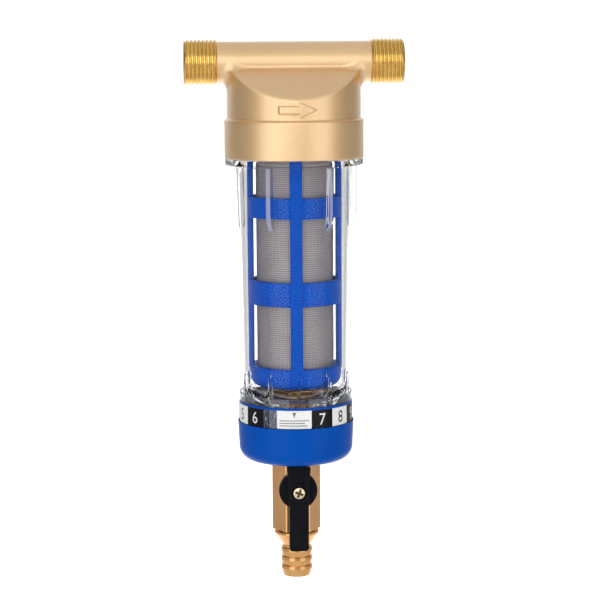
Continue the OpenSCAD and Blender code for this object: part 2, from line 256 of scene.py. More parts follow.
def steel_mesh():
    """Plain-weave stainless wire cloth, as over and under wires on a tube."""
    m = Nodes("steel_mesh")
    sep = m.new("ShaderNodeSeparateXYZ")
    m.link(m.coord.outputs["Object"], sep.inputs[0])
    x, y, z = sep.outputs
    ang = m.math("ARCTAN2", y, x)
    pitch = 0.00078
    nu = round(2 * PI * 0.0182 / pitch)
    u = m.math("MULTIPLY", ang, nu / 2.0)              # half turns per wire
    v = m.math("MULTIPLY", z, PI / (pitch * 1.3))
    # wires as rounded ridges; the two sets swap which is on top at each crossing
    su, sv = m.math("SINE", u), m.math("SINE", v)
    warp = m.math("POWER", m.math("ABSOLUTE", su), 0.6)
    weft = m.math("POWER", m.math("ABSOLUTE", sv), 0.6)
    swap = m.math("MULTIPLY", m.math("COSINE", u), m.math("COSINE", v))
    over = m.maprange(swap, -0.4, 0.4, 0.0, 1.0)
    wu = m.math("MULTIPLY", warp, over)
    wv = m.math("MULTIPLY", weft, m.math("SUBTRACT", 1.0, over))
    h = m.math("ADD", wu, wv)
    holes = m.math("MULTIPLY", warp, weft)
    stain = m.noise(120, 4, 0.6)
    tone = m.mix(m.maprange(stain, 0.3, 0.7, 0.0, 1.0), (0.43, 0.385, 0.395), (0.53, 0.485, 0.495))
    base = m.mix(m.maprange(h, 0.35, 0.95, 0.0, 1.0), (0.085, 0.072, 0.074), tone)
    m.put("Base Color", base)
    m.put("Metallic", m.maprange(holes, 0.0, 0.5, 0.15, 0.40))
    m.put("Roughness", m.maprange(stain, 0.3, 0.7, 0.42, 0.52))
    m.put("Normal", m.bump(h, 0.40, 0.00010))
    return m.mat


def plain(name, a, b, rough, metallic=0.0, scale=300, bump=0.08, grain=2600, coat=0.0, spec=0.5):
    """A moulded or machined surface with slight mottling and grain."""
    m = Nodes(name)
    n = m.noise(scale, 3, 0.6)
    g = m.noise(grain, 2, 0.6)
    m.put("Base Color", m.ramp(n, [(0.3, a), (0.7, b)]))
    m.put("Metallic", metallic)
    m.put("Roughness", m.maprange(g, 0.3, 0.7, max(0.02, rough - 0.05), rough + 0.06))
    m.put("Specular IOR Level", spec)
    if coat:
        m.put("Coat Weight", coat)
        m.put("Coat Roughness", 0.08)
    m.put("Normal", m.bump(m.math("ADD", n, g), bump, 0.0001))
    return m.mat


M = {
    "cast": cast_brass(),
    "thread": thread_brass(),
    "turned": turned_brass(),
    "clear": clear_plastic("clear_bowl_plastic", (0.985, 0.992, 1.0), 1.20),
    "clear_satin": clear_plastic("clear_bowl_satin", (0.50, 0.51, 0.66), 1.20, 0.35, 0.45),
    "clear_flank": clear_plastic("clear_bowl_flank", (0.90, 0.92, 1.0), 1.10, 0.06),
    "clear_ring": clear_plastic("clear_ring_plastic", (0.97, 0.985, 0.995), 1.50),
    "cage": blue_plastic("cage_blue", (0.0015, 0.090, 0.56), (0.0025, 0.102, 0.62), 0.40, 0.0, 0.12),
    "cap": blue_plastic("cap_blue", (0.0008, 0.070, 0.40), (0.0012, 0.078, 0.435), 0.22, 0.0, 0.25),
    "mesh": steel_mesh(),
    "film": plain("label_film", (0.80, 0.80, 0.79), (0.87, 0.87, 0.86), 0.28, scale=500, bump=0.03),
    "ink_black": plain("label_ink_black", (0.004, 0.004, 0.005), (0.009, 0.009, 0.010), 0.24, scale=700, bump=0.03, spec=0.12),
    "ink_white": plain("label_ink_white", (0.74, 0.74, 0.73), (0.84, 0.84, 0.83), 0.3, scale=700, bump=0.02),
    "ink_blue": plain("label_ink_blue", (0.002, 0.062, 0.36), (0.003, 0.070, 0.40), 0.25, scale=700, bump=0.02, spec=0.10),
    "ink_grey": plain("label_ink_grey", (0.16, 0.16, 0.165), (0.24, 0.24, 0.245), 0.3, scale=700, bump=0.02),
    "lever": plain("lever_black", (0.0035, 0.0037, 0.005), (0.007, 0.0075, 0.010), 0.16, scale=200, bump=0.05, spec=0.10),
    "screw": plain("plated_screw", (0.62, 0.50, 0.30), (0.80, 0.70, 0.50), 0.22, metallic=1.0, scale=900, bump=0.10),
    "rubber": plain("black_rubber", (0.010, 0.010, 0.010), (0.022, 0.022, 0.022), 0.5, scale=500, bump=0.2),
    "steel": plain("stainless_tube", (0.52, 0.52, 0.53), (0.62, 0.62, 0.63), 0.24, metallic=1.0, scale=300, bump=0.08),
    "nickel": plain("nickel_plate", (0.60, 0.58, 0.55), (0.70, 0.68, 0.65), 0.18, metallic=1.0, scale=300, bump=0.04),
    "pole": plain("pole_steel", (0.28, 0.285, 0.30), (0.36, 0.365, 0.38), 0.3, metallic=1.0, scale=300, bump=0.08),
    "silicone": plain("pale_silicone", (0.62, 0.60, 0.58), (0.72, 0.70, 0.68), 0.4, scale=400, bump=0.06),
    "ptfe": plain("white_ptfe", (0.80, 0.80, 0.78), (0.88, 0.88, 0.86), 0.42, scale=400, bump=0.08),
    "chrome": plain("polished_ball", (0.66, 0.66, 0.67), (0.74, 0.74, 0.75), 0.10, metallic=1.0, scale=300, bump=0.03),
}

# --------------------------------------------------------------------------
# mesh helpers; all sizes are in millimetres until the object is made
# --------------------------------------------------------------------------


def make_object(name, verts, faces, mats, smooth=True, sharp=None, normals=None, face_mats=None):
    me = bpy.data.meshes.new(name)
    me.from_pydata([tuple(v) for v in np.asarray(verts, float) * 0.001], [],
                   [tuple(int(i) for i in f) for f in faces])
    me.validate(clean_customdata=False)
    for m in (mats if isinstance(mats, (list, tuple)) else [mats]):
        me.materials.append(m)
    if face_mats is not None:
        me.polygons.foreach_set("material_index", np.asarray(face_mats, np.int32))
    me.polygons.foreach_set("use_smooth", np.full(len(me.polygons), bool(smooth)))
    if sharp is not None:
        me.set_sharp_from_angle(angle=math.radians(sharp))
    if normals is not None:
        me.normals_split_custom_set_from_vertices([tuple(n) for n in normals])
    me.update()
    ob = bpy.data.objects.new(name, me)
    SC.collection.objects.link(ob)
    return ob


def clean(ob, dist=1e-6):
    """Merges doubled points, drops loose bits and makes the faces point outwards."""
    bm = bmesh.new()
    bm.from_mesh(ob.data)
    bmesh.ops.remove_doubles(bm, verts=bm.verts, dist=dist)
    bmesh.ops.dissolve_degenerate(bm, edges=bm.edges, dist=dist)
    bmesh.ops.recalc_face_normals(bm, faces=bm.faces)
    bm.to_mesh(ob.data)
    bm.free()


def rounded(pts, seg=5, closed=True):
    """A closed outline with each corner (r, z, radius) turned to an arc, and a support point beside each arc."""
    out, n = [], len(pts)
    for i in range(n):
        p = np.array(pts[i][:2], float)
        rad = pts[i][2] if len(pts[i]) > 2 else 0.0
        a, b = np.array(pts[i - 1][:2], float), np.array(pts[(i + 1) % n][:2], float)
        if rad <= 0 or (not closed and i in (0, n - 1)):
            out.append(p)
            continue
        u, v = (a - p) / np.linalg.norm(a - p), (b - p) / np.linalg.norm(b - p)
        half = math.acos(max(-1, min(1, float(u @ v)))) / 2
        t = min(rad / math.tan(half), 0.48 * np.linalg.norm(a - p), 0.48 * np.linalg.norm(b - p))
        r = t * math.tan(half)
        c = p + (u + v) / np.linalg.norm(u + v) * (r / math.sin(half))
        s, e = p + u * t, p + v * t
        a0, a1 = math.atan2(*(s - c)[::-1]), math.atan2(*(e - c)[::-1])
        d = (a1 - a0 + PI) % (2 * PI) - PI
        k = min(0.25 * r, 0.02 * np.linalg.norm(a - p))
        out.append(s + u * k)
        out += [c + r * np.array([math.cos(a0 + d * j / seg), math.sin(a0 + d * j / seg)]) for j in range(seg + 1)]
        out.append(e + v * min(0.25 * r, 0.02 * np.linalg.norm(b - p)))
    return np.array(out)


def loft_faces(rows, cols, wrap_rows=True, wrap_cols=True):
    i, j = np.meshgrid(np.arange(rows if wrap_rows else rows - 1),
                       np.arange(cols if wrap_cols else cols - 1), indexing="ij")
    i, j = i.ravel(), j.ravel()
    i2, j2 = (i + 1) % rows, (j + 1) % cols
    return np.stack([i * cols + j, i * cols + j2, i2 * cols + j2, i2 * cols + j], axis=1)


def revolve(name, outline, mat, n=128, sharp=40, axis="Z"):
    """A closed outline of (r, z) turned round the axis."""
    o = np.asarray(outline, float)
    a = np.linspace(0, 2 * PI, n, endpoint=False)
    if axis == "Z":
        v = np.stack([o[:, None, 0] * np.cos(a), o[:, None, 0] * np.sin(a),
                      np.repeat(o[:, None, 1], n, 1)], axis=-1)
    else:                                   # round the Y axis, with z read as -y
        v = np.stack([o[:, None, 0] * np.cos(a), np.repeat(-o[:, None, 1], n, 1),
                      o[:, None, 0] * np.sin(a)], axis=-1)
    ob = make_object(name, v.reshape(-1, 3), loft_faces(len(o), n), mat)
    clean(ob)
    if sharp:
        ob.data.set_sharp_from_angle(angle=math.radians(sharp))
    return ob


# signed distances ---------------------------------------------------------


def rmin(a, b, r):
    return np.maximum(np.minimum(a, b), r) - np.hypot(np.maximum(r - a, 0), np.maximum(r - b, 0))


def rmax(a, b, r):
    return -rmin(-a, -b, r)


def poly_sdf(u, v, pts):
    """Signed distance to a closed polygon."""
    pts = np.asarray(pts, float)
    d = np.full(np.shape(u), 1e9)
    inside = np.zeros(np.shape(u), bool)
    for k in range(len(pts)):
        ax, ay = pts[k]
        bx, by = pts[k - 1]
        ex, ey = bx - ax, by - ay
        wx, wy = u - ax, v - ay
        t = np.clip((wx * ex + wy * ey) / (ex * ex + ey * ey), 0, 1)
        d = np.minimum(d, (wx - ex * t) ** 2 + (wy - ey * t) ** 2)
        cross = ex * wy - ey * wx
        up = (ay <= v) & (by > v) & (cross > 0)
        down = (ay > v) & (by <= v) & (cross < 0)
        inside ^= up | down
    return np.where(inside, -1, 1) * np.sqrt(d)


def sdf_mesh(name, f, lo, hi, h, mat, moves=4):
    """The zero surface of f as quads, each point moved onto the exact surface, with normals from f's own slope."""
    lo, hi = np.array(lo, float), np.array(hi, float)
    n = np.ceil((hi - lo) / h).astype(int) + 1
    ax = [lo[k] + h * np.arange(n[k]) for k in range(3)]
    vol = np.empty(n, np.float32)
    Y, Z = np.meshgrid(ax[1], ax[2], indexing="ij")
    for s in range(0, n[0], 8):
        xs = ax[0][s:s + 8][:, None, None]
        vol[s:s + 8] = f(xs + 0 * Y[None], Y[None] + 0 * xs, Z[None] + 0 * xs)
    np.clip(vol, -3 * h, 3 * h, out=vol)
    g = openvdb.FloatGrid(3 * h)
    g.copyFromArray(vol)
    pts, quads = g.convertToQuads(0.0)
    p = lo + h * np.asarray(pts, float)

    def slope(q, e=0.02):
        out = []
        for k in range(3):
            d = np.zeros(3)
            d[k] = e
            a, b = q + d, q - d
            out.append((f(a[:, 0], a[:, 1], a[:, 2]) - f(b[:, 0], b[:, 1], b[:, 2])) / (2 * e))
        return np.stack(out, axis=1)

    for _ in range(moves):
        d = f(p[:, 0], p[:, 1], p[:, 2])
        s = slope(p)
        step = d[:, None] * s / np.maximum((s * s).sum(1, keepdims=True), 0.2)
        size = np.linalg.norm(step, axis=1, keepdims=True)
        p -= step * np.minimum(1, 0.45 * h / np.maximum(size, 1e-9))
    nrm = slope(p, 0.04)
    nrm /= np.maximum(np.linalg.norm(nrm, axis=1, keepdims=True), 1e-9)
    quads = np.asarray(quads)
    a, b, c = p[quads[:, 0]], p[quads[:, 1]], p[quads[:, 2]]
    way = (np.cross(b - a, c - a) * nrm[quads[:, 0]]).sum(1)
    if np.median(way) < 0:
        quads = quads[:, ::-1]
    return make_object(name, p, quads, mat, normals=nrm)


def join_into(ob, others):
    """Adds other mesh objects' faces to ob, keeping materials."""
    with bpy.context.temp_override(active_object=ob, object=ob, selected_objects=[ob, *others],
                                   selected_editable_objects=[ob, *others]):
        bpy.ops.object.join()
    return ob


def piece(ob, body, slot, *nodes):
    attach(ob, body)
    if nodes:
        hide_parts(*nodes)
    return ob


# --------------------------------------------------------------------------
# head: cast tee with filleted roof, raised arrow, waterways and screw thread
# --------------------------------------------------------------------------
PIPE_R, BODY_R, COLLAR_R = 9.5, 31.3, 32.68
ARROW = [(-8.9, -1.65), (0.7, -1.65), (0.7, -3.4), (8.1, 0.0), (0.7, 3.4), (0.7, 1.65), (-8.9, 1.65)]


def tri(t):
    """0 at a thread's root and 1 at its crest, with flats."""
    t = np.abs((t % 1.0) - 0.5) * 2
    return np.clip((1 - t - 0.14) / 0.72, 0, 1)


def head_f(x, y, z):
    ax, ay = np.abs(x), np.abs(y)
    rho, rp = np.hypot(x, y), np.hypot(y, z)
    pipe = np.maximum(rp - PIPE_R, ax - 36.35)
    roof = (z + 16.1 - 0.61 * (BODY_R - ay)) / math.hypot(1, 0.61)
    body = np.maximum(rmax(rho - BODY_R, roof, 1.5), -30.0 - z)
    k = np.clip((ax - 22.0) / 8.0, 0, 1)
    solid = rmin(pipe, body, 1.1 + 2.4 * k * k * (3 - 2 * k))
    collar = rmax(rmax(rho - COLLAR_R, z + 26.4, 0.9), -44.5 - z, 0.45)
    solid = rmin(solid, collar, 0.7)
    front = (y < -20) & (z > -28) & (z < -14) & (ax < 14)
    if np.any(front):
        d = poly_sdf(np.arctan2(x[front], -y[front]) * BODY_R, z[front] + 21.3, ARROW)
        raised = rmax(d - 0.10, rho[front] - (BODY_R + 0.6), 0.6)
        solid = solid.copy()
        solid[front] = rmin(solid[front], raised, 0.55)
    # waterways and the space that takes the bowl's neck
    turn = np.arctan2(y, x) / (2 * PI)
    screw = rho - (28.05 + 0.8 * tri(z / 3.0 - turn))
    cut = np.maximum(np.where((z < -30.2) & (z > -43.2), screw, rho - 28.05), z + 29.5)
    cut = rmin(cut, rmax(rho - 26.75, z + 19.5, 0.8), 0.2)
    cut = rmax(cut, -rmax(rho - 11.5, -34.0 - z, 0.5), 0.5)
    cut = np.minimum(cut, rmax(rho - 7.5, z - 0.0, 0.0))
    cut = np.minimum(cut, np.maximum(rp - 7.5, -x))
    cut = np.minimum(cut, np.maximum(rp - 7.5, x + 17.5))
    drop = np.maximum(np.maximum(np.hypot(x + 17.5, y) - 6.5, z), -20.0 - z)
    cut = np.minimum(cut, drop)
    return rmax(solid, -cut, 0.3)


def port_thread(name, side):
    """One male port: a right-handed cut thread with a chamfered end, on a hollow pipe."""
    x0, x1, p, rc, rr = 35.9, 51.2, 1.814, 10.46, 9.62
    n = 144
    xs = np.unique(np.round(np.concatenate([
        np.arange(x0, x1 - 0.01, 0.11), [x1 - 0.02, x1]]), 4))
    a = np.linspace(0, 2 * PI, n, endpoint=False)
    X, A = np.meshgrid(xs, a, indexing="ij")
    ph = (side * X) / p - A / (2 * PI)
    prof = np.clip(tri(ph) * 1.45, 0, 1)
    prof = prof * prof * (3 - 2 * prof) * 0.5 + prof * 0.5
    R = rr + (rc - rr) * prof
    R = np.minimum(R, rc - np.maximum(X - (x1 - 0.75), 0) * 0.9)        # lead-in chamfer
    R = np.where(X < x0 + 0.9, np.maximum(np.minimum(R, PIPE_R + 0.25 + (X - x0) * 1.3), PIPE_R + 0.02), R)
    outer = np.stack([side * X, R * np.cos(A), R * np.sin(A)], axis=-1)
    ring = lambda xx, r: np.stack([np.full(n, side * xx), r * np.cos(a), r * np.sin(a)], axis=-1)
    rows = [*outer, ring(x1, 9.4), ring(x1, 8.2), ring(x1 - 0.05, 7.95), ring(x1 - 0.5, 7.52),
            ring(x1 - 1.0, 7.5), ring(x0 + 0.5, 7.5), ring(x0, 7.5)]
    v = np.array(rows)
    ob = make_object(name, v.reshape(-1, 3), loft_faces(len(rows), n), M["thread"])
    clean(ob)
    ob.data.set_sharp_from_angle(angle=math.radians(50))
    return ob


head = sdf_mesh("head_casting_body", head_f, (-37.4, -33.9, -45.4), (37.4, 33.9, 10.4), 0.60, M["cast"])
piece(head, "head", "cast_brass", "head_casting")
for side, name in ((-1, "inlet_port_thread"), (1, "outlet_port_thread")):
    piece(port_thread(name, side), "head", "cast_brass")

# --------------------------------------------------------------------------
# clear bowl: one closed skin of columns, bent outwards at each fin and rib
# --------------------------------------------------------------------------


def lerp(z, table):
    t = sorted(table)
    return np.interp(z, [a for a, _ in t], [b for _, b in t])


def clear_bowl():
    fins = [31.8 + 60 * i for i in range(6)]
    ribs = [36 * i for i in range(10)]
    # columns: (bearing, offset in mm, fin height 0..1, rib height 0..1)
    fin_x = [(-1.42, 0), (-1.24, .05), (-1.2, .2), (-1.19, .88), (-1.1, .965), (-0.85, .995), (-0.3, 1)]
    fin_x += [(-t, h) for t, h in fin_x[::-1]]
    rib_x = [(-1.10, 0), (-0.92, .06), (-0.9, .25), (-0.88, .85), (-0.78, .96), (-0.5, 1)]
    rib_x += [(-t, h) for t, h in rib_x[::-1]]
    cols = []
    for a in fins:
        cols += [(a, t, h, 0.0) for t, h in fin_x]
    for a in ribs:
        cols += [(a, t, 0.0, h) for t, h in rib_x]
    used = sorted([a + math.degrees(t / 26.0) for a, t, _, _ in cols])
    for a in np.arange(0, 360, 2.5):
        gap = min(abs((a - b + 180) % 360 - 180) for b in used)
        if gap > 1.3:
            cols.append((a, 0.0, 0.0, 0.0))
    cols.sort(key=lambda c: (c[0] + math.degrees(c[1] / 26.0)) % 360)
    B = np.array([c[0] for c in cols], float)
    T = np.array([c[1] for c in cols], float)
    HF = np.array([c[2] for c in cols], float)
    HR = np.array([c[3] for c in cols], float)

    wall = [(-47.8, 27.2), (-83.0, 26.0), (-137.0, 25.1), (-153.0, 24.9)]
    rows = []          # each: base (r, z), fin (r, z) or None, rib (r, z) or None, width scale, screw

    def row(r, z, fin=None, rib=None, scale=1.0, screw=0.0):
        rows.append((r, z, fin, rib, scale, screw))

    # underside of the floor, out to the foot's rounding
    for r in (8.6, 9.0, 12.0, 15.0):
        row(r, -162.0)
    arc_n = 12
    rib_path = [(16.5, -162.4), (18.2, -164.2), (20.4, -166.6), (22.2, -168.3), (22.9, -168.75),
                (24.2, -168.8), (25.3, -168.75), (25.68, -168.5), (25.75, -167.8), (25.75, -164.0),
                (25.75, -160.0), (25.75, -156.5), (25.75, -153.0)]
    for i in range(arc_n + 1):
        t = -PI / 2 + (PI / 2) * i / arc_n
        r, z = 15.9 + 9 * math.cos(t), -153 + 9 * math.sin(t)
        row(r, z, rib=rib_path[i])
    for z in (-151.0, -149.0, -147.2, -146.7):
        row(lerp(z, wall), z, rib=(25.75, z))
    row(lerp(-146.2, wall), -146.2, rib=(25.62, -146.2))
    row(lerp(-145.8, wall), -145.8, rib=(25.2, -145.8))
    row(lerp(-145.3, wall), -145.3)
    for z in (-143, -137.5, -136.5, -128, -118, -108, -98, -90, -84.5, -83, -81.5, -79):
        row(lerp(z, wall), z)
    fin_out = [(-77.0, 26.15), (-76.5, 26.6), (-75.9, 27.3), (-74.8, 28.15), (-73.4, 28.85),
               (-71.8, 29.3), (-70.0, 29.52), (-68.5, 29.6), (-60.0, 29.6), (-52.0, 29.6), (-49.0, 29.6)]
    for z, r in fin_out:
        row(lerp(z, wall), z, fin=(r, z))
    # fillet to the flange, its underside and its rim
    for dr, dz in ((0.0, 0.62), (0.06, 0.30), (0.25, 0.09), (0.55, 0.0)):
        row(27.2 + dr, -47.8 - dz, fin=(29.6 + dr * 0.35, -47.8 - dz * 0.6))
    for r in (28.6, 30.2, 31.4, 32.0):
        row(r, -47.8, fin=(29.8 + (r - 27.75) * 0.52, -47.8))
    for r, z in ((32.25, -47.76), (32.42, -47.62), (32.5, -47.4), (32.5, -46.2), (32.5, -45.0),
                 (32.42, -44.78), (32.25, -44.64), (32.0, -44.6), (30.0, -44.6), (28.0, -44.6),
                 (27.2, -44.55), (26.95, -44.3), (26.9, -44.0)):
        row(r, z)
    for z in np.arange(-43.6, -30.35, 0.3):
        k = min(1.0, (z + 43.9) / 1.5, (-30.2 - z) / 1.5)
        row(26.9, z, screw=max(0.0, k))
    for r, z in ((26.9, -30.1), (26.6, -29.8), (26.5, -29.6), (26.5, -28.75), (26.35, -28.5),
                 (25.1, -28.5), (24.9, -28.3), (24.9, -26.5), (25.1, -26.3), (26.35, -26.3),
                 (26.5, -26.1), (26.4, -25.75), (26.1, -25.5), (25.0, -25.5), (23.95, -25.5),
                 (23.7, -25.6), (23.6, -25.85), (23.6, -30), (23.6, -38), (23.6, -47.0)):
        row(r, z)
    inner = [(-48.0, 23.6), (-83.0, 23.4), (-137.0, 22.75), (-149.9, 22.6)]
    for z in (-49, -60, -72, -82, -84, -96, -108, -122, -136, -138, -141, -143.2):
        row(lerp(z, inner), z)
    for z, g in ((-143.7, 22.65), (-144.2, 22.4), (-145.5, 21.95), (-147.0, 21.5), (-149.0, 21.0)):
        row(lerp(z, inner), z, rib=(min(g, lerp(z, inner)), z), scale=0.66)
    g_path = [(20.85, -149.8), (20.7, -150.5), (20.55, -151.2), (20.4, -152.0), (20.25, -152.9),
              (20.1, -154.0), (20.05, -155.0), (19.9, -156.0), (19.2, -156.9)]
    for i in range(11):
        t = -(PI / 2) * i / 10
        r, z = 14.0 + 8.6 * math.cos(t), -149.9 + 8.6 * math.sin(t)
        row(r, z, rib=g_path[i] if i < len(g_path) and g_path[i][0] < r else None, scale=0.66)
    for r in (12.5, 10.0, 9.0, 8.6):
        row(r, -158.5 if r > 8.6 else -158.6)

    out = np.empty((len(rows), len(cols), 3))
    for i, (r, z, fin, rib, sc, screw) in enumerate(rows):
        R, Zc = np.full(len(cols), float(r)), np.full(len(cols), float(z))
        if fin is not None:
            R, Zc = R + HF * (fin[0] - r), Zc + HF * (fin[1] - z)
        if rib is not None:
            R, Zc = R + HR * (rib[0] - r), Zc + HR * (rib[1] - z)
        tt = T * np.where(HR > 0, sc, 1.0) if rib is not None else T
        tt = T * (sc if rib is not None else 1.0) * np.minimum(1.0, R / 24.8)
        th = np.radians(B - 90) + np.arcsin(np.clip(tt / R, -1, 1))
        if screw > 0:
            R = R + screw * 0.98 * tri(z / 3.0 - th / (2 * PI))
        out[i] = np.stack([R * np.cos(th), R * np.sin(th), Zc], axis=-1)
    faces = loft_faces(len(rows), len(cols))
    fin_row = np.array([f is not None for _, _, f, _, _, _ in rows])
    on_fin = fin_row[faces // len(cols)].all(1)
    satin = np.where(on_fin & (HF[faces % len(cols)] > 0.9).all(1), 1,
                     np.where(on_fin & (HF[faces % len(cols)] > 0.1).all(1), 2, 0))
    ob = make_object("clear_bowl_moulding", out.reshape(-1, 3), faces, [M["clear"], M["clear_satin"], M["clear_flank"]],
                     face_mats=satin)
    clean(ob, 1e-7)
    ob.data.set_sharp_from_angle(angle=math.radians(38))
    return ob


piece(clear_bowl(), "bowl", "clear_plastic", "clear_bowl")

# --------------------------------------------------------------------------
# cartridge: blue cage, wire-cloth sleeve
# --------------------------------------------------------------------------
CAGE_TURN = math.radians(-2.0)


def cage_f(x, y, z):
    c, s = math.cos(-CAGE_TURN), math.sin(-CAGE_TURN)
    x, y = x * c - y * s, x * s + y * c
    rho = np.hypot(x, y)
    band = rmax(rho - 22.2, 19.5 - rho, 0.4)
    bx = np.minimum(np.abs(x), np.abs(y)) - 2.8
    bars = rmax(rmax(band, bx, 0.55), np.maximum(z + 29.0, -144.0 - z), 0.3)
    skin = rmax(rho - 21.7, 19.5 - rho, 0.3)
    hoops = rmin(rmax(skin, np.abs(z + 67.1) - 4.9, 0.35), rmax(skin, np.abs(z + 107.15) - 5.65, 0.35), 0.0)
    # cup with a rounded foot
    side = rho - (21.9 + np.clip(z + 142.3, -12, 0) * 0.045)
    cup = rmax(rmax(side, -152.6 - z, 5.2), z + 142.3, 0.35)
    hollow = rmax(rmax(rho - 18.45, -148.0 - z, 0.3), z + 130, 0.0)
    hollow2 = rmax(rmax(rho - 16.4, -150.8 - z, 1.5), z + 140, 0.0)
    cup = rmax(rmax(cup, -hollow, 0.25), -hollow2, 0.25)
    boss = rmax(np.maximum(rho - (7.9 - (z + 151) * 0.04), z + 143.0), -(rho - 5.55), 0.2)
    boss = np.maximum(boss, -151.2 - z)
    cup = rmin(cup, boss, 0.4)
    plate = rmax(rmax(rho - 21.9, np.abs(z + 30.3) - 2.3, 0.4), 0 * z - 99, 0.0)
    plate = rmax(plate, -np.maximum(rho - 17.6, z + 30.6), 0.2)
    neck = rmax(rho - 14.8, np.maximum(z + 23.6, -30.0 - z), 0.5)
    top = rmax(rmin(plate, neck, 0.6), 11.65 - rho, 0.3)
    f = rmin(rmin(bars, hoops, 0.3), rmin(cup, top, 0.0), 0.3)
    return f


cage = sdf_mesh("cartridge_cage_moulding", cage_f, (-22.9, -22.9, -153.3), (22.9, 22.9, -22.9), 0.52, M["cage"])
piece(cage, "head", "blue_plastic", "cartridge_cage")


def mesh_sleeve():
    """Wire cloth rolled to a tube, with slight waviness and a lapped seam at the back left."""
    n, rows = 256, 60
    a = np.linspace(0, 2 * PI, n, endpoint=False)
    z = np.linspace(-148.0, -32.6, rows)
    Zg, A = np.meshgrid(z, a, indexing="ij")
    seam = np.exp(-(((A - 2.2 + PI) % (2 * PI) - PI) / 0.05) ** 2)
    ends = np.exp(-((Zg + 148) / 1.2) ** 2) + np.exp(-((Zg + 32.6) / 1.2) ** 2)
    wav = 0.035 * np.sin(3 * A + Zg * 0.13) + 0.025 * np.sin(5 * A - Zg * 0.21)
    Ro = 18.12 + wav * (1 - np.clip(ends, 0, 1)) + 0.14 * seam * (1 - np.clip(ends, 0, 1))
    Ri = Ro - 0.25
    o = np.stack([Ro * np.cos(A), Ro * np.sin(A), Zg], axis=-1)
    i = np.stack([Ri * np.cos(A), Ri * np.sin(A), Zg], axis=-1)
    v = np.concatenate([o, i[::-1]])
    ob = make_object("mesh_screen_cloth", v.reshape(-1, 3), loft_faces(2 * rows, n), M["mesh"])
    clean(ob)
    ob.data.set_sharp_from_angle(angle=math.radians(50))
    return ob


piece(mesh_sleeve(), "head", "steel_mesh", "mesh_screen")

# --------------------------------------------------------------------------
# month ring with its printed film
# --------------------------------------------------------------------------
RING_R = 26.8
ring = revolve("month_ring_moulding", rounded([
    (25.95, -155.3, 0.25), (RING_R, -155.3, 0.3), (RING_R, -170.1, 0.2), (24.6, -170.1, 0.2),
    (24.6, -169.1, 0.15), (25.95, -169.1, 0.1)], 4), M["clear_ring"], 192)
piece(ring, "month_ring", "clear_ring", "month_ring")

SECT = 23.4
START = {7: 11.8, 8: 35.2, 9: 58.6, 10: 82.0, 11: 105.4, 12: 128.8,
         1: 182.1, 2: 205.5, 3: 228.9, 4: 252.3, 5: 275.7, 6: 299.1}
DARK = (7, 9, 11, 2, 4, 6)


def bend(u, r, z):
    """u: bearing in degrees from the front, + towards +X."""
    t = math.radians(u - 90)
    return (r * math.cos(t), r * math.sin(t), z)


def strip(bm, a0, a1, r0, r1, z0, z1, corner=0.0):
    """A thin curved plate between two bearings, closed on all sides."""
    n = max(3, int(abs(a1 - a0) / 1.5))
    us = np.linspace(a0, a1, n + 1)
    out, inn = [], []
    for u in us:
        out.append([bm.verts.new(bend(u, r1, z)) for z in (z0, z1)])
        inn.append([bm.verts.new(bend(u, r0, z)) for z in (z0, z1)])
    for k in range(n):
        bm.faces.new((out[k][0], out[k + 1][0], out[k + 1][1], out[k][1]))
        bm.faces.new((inn[k][1], inn[k + 1][1], inn[k + 1][0], inn[k][0]))
        bm.faces.new((out[k][1], out[k + 1][1], inn[k + 1][1], inn[k][1]))
        bm.faces.new((inn[k][0], inn[k + 1][0], out[k + 1][0], out[k][0]))
    bm.faces.new((inn[0][0], out[0][0], out[0][1], inn[0][1]))
    bm.faces.new((out[-1][0], inn[-1][0], inn[-1][1], out[-1][1]))


def from_bm(name, bm, mat, sharp=40):
    bmesh.ops.recalc_face_normals(bm, faces=bm.faces)
    for v in bm.verts:
        v.co *= 0.001
    me = bpy.data.meshes.new(name)
    bm.to_mesh(me)
    bm.free()
    me.materials.append(mat)
    me.polygons.foreach_set("use_smooth", np.full(len(me.polygons), True))
    me.set_sharp_from_angle(angle=math.radians(sharp))
    ob = bpy.data.objects.new(name, me)
    SC.collection.objects.link(ob)
    return ob


bm = bmesh.new()
strip(bm, -23.0, 322.5, RING_R, RING_R + 0.15, -169.0, -159.3)
piece(from_bm("month_label_film", bm, M["film"]), "month_ring", "label_white", "month_label")
bm = bmesh.new()
for k in DARK:
    strip(bm, START[k] + 0.02, START[k] + SECT - 0.02, RING_R + 0.14, RING_R + 0.19, -169.0, -160.5)
piece(from_bm("month_squares_ink", bm, M["ink_black"]), "month_ring", "label_black", "month_squares")
bm = bmesh.new()
strip(bm, -37.5, 322.5, RING_R + 0.145, RING_R + 0.185, -160.5, -159.25)
piece(from_bm("label_border_ink", bm, M["ink_blue"]), "month_ring", "label_white")


